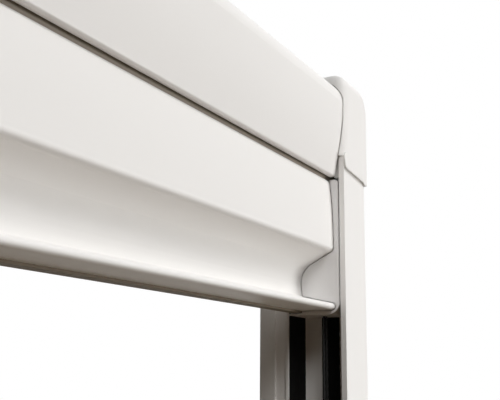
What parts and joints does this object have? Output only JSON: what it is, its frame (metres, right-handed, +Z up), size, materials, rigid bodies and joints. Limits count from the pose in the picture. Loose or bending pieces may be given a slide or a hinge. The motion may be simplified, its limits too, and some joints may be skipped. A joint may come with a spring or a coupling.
{
  "type": "pleated insect screen",
  "caption": "Framed window insect screen: a pleated mesh draws down from a top cassette on a pull bar that slides in side rails.",
  "frame": {"origin": "middle of the bottom rail's underside, where the screen stands on the window sill", "axes": "+Z up, +X to the right seen from the room, +Y from the room towards the window"},
  "size_m": [1.0044, 0.0435, 1.2041],
  "materials": {
    "white_coat": "white powder coat, satin",
    "white_plastic": "fine satin",
    "shoe_plastic": "fine satin",
    "strip_plastic": "matt",
    "black_pile": "dense wool pile",
    "seal_rubber": "matt",
    "foam_tape": "closed-cell foam",
    "screw_steel": "zinc plated",
    "mesh_cloth": "fine pleated net",
    "cord_fibre": "braided"
  },
  "bodies": {
    "frame": {"head_cassette": "white_coat", "bottom_rail": "white_coat", "guide_rail_right": "white_coat", "guide_rail_left": "white_coat", "cassette_end_cap_right": "white_plastic", "cassette_end_cap_left": "white_plastic", "bottom_corner_right": "white_plastic", "bottom_corner_left": "white_plastic", "mesh_top_strip": "strip_plastic", "cord_anchor_right": "strip_plastic", "cord_anchor_left": "strip_plastic", "rail_front_pile_right": "black_pile", "rail_front_pile_left": "black_pile", "rail_rear_pile_right": "black_pile", "rail_rear_pile_left": "black_pile", "rail_floor_pile_right": "black_pile", "rail_floor_pile_left": "black_pile", "frame_seal_right": "foam_tape", "frame_seal_left": "foam_tape", "frame_seal_top": "foam_tape", "end_cap_screws_right": "screw_steel", "end_cap_screws_left": "screw_steel", "bottom_corner_screw_right": "screw_steel", "bottom_corner_screw_left": "screw_steel", "pleated_mesh": "mesh_cloth", "mesh_cords": "cord_fibre", "rail_cords_right": "cord_fibre", "rail_cords_left": "cord_fibre"},
    "pull_bar_unit": {"pull_bar": "white_coat", "pull_bar_seal": "seal_rubber", "mesh_bottom_strip": "strip_plastic", "pull_bar_end_cap_right": "shoe_plastic", "pull_bar_end_cap_left": "shoe_plastic", "pull_bar_end_screws_right": "screw_steel", "pull_bar_end_screws_left": "screw_steel", "bar_cords_right": "cord_fibre", "bar_cords_left": "cord_fibre", "cord_guides_right": "strip_plastic", "cord_guides_left": "strip_plastic"}
  },
  "joints": [
    {"name": "pull_bar_slide", "type": "slide", "parent": "frame", "child": "pull_bar_unit", "axis": [0, 0, -1], "range_m": [0, 1.0871], "deforming": ["pleated_mesh", "mesh_cords", "rail_cords_right", "rail_cords_left"]}
  ]
}
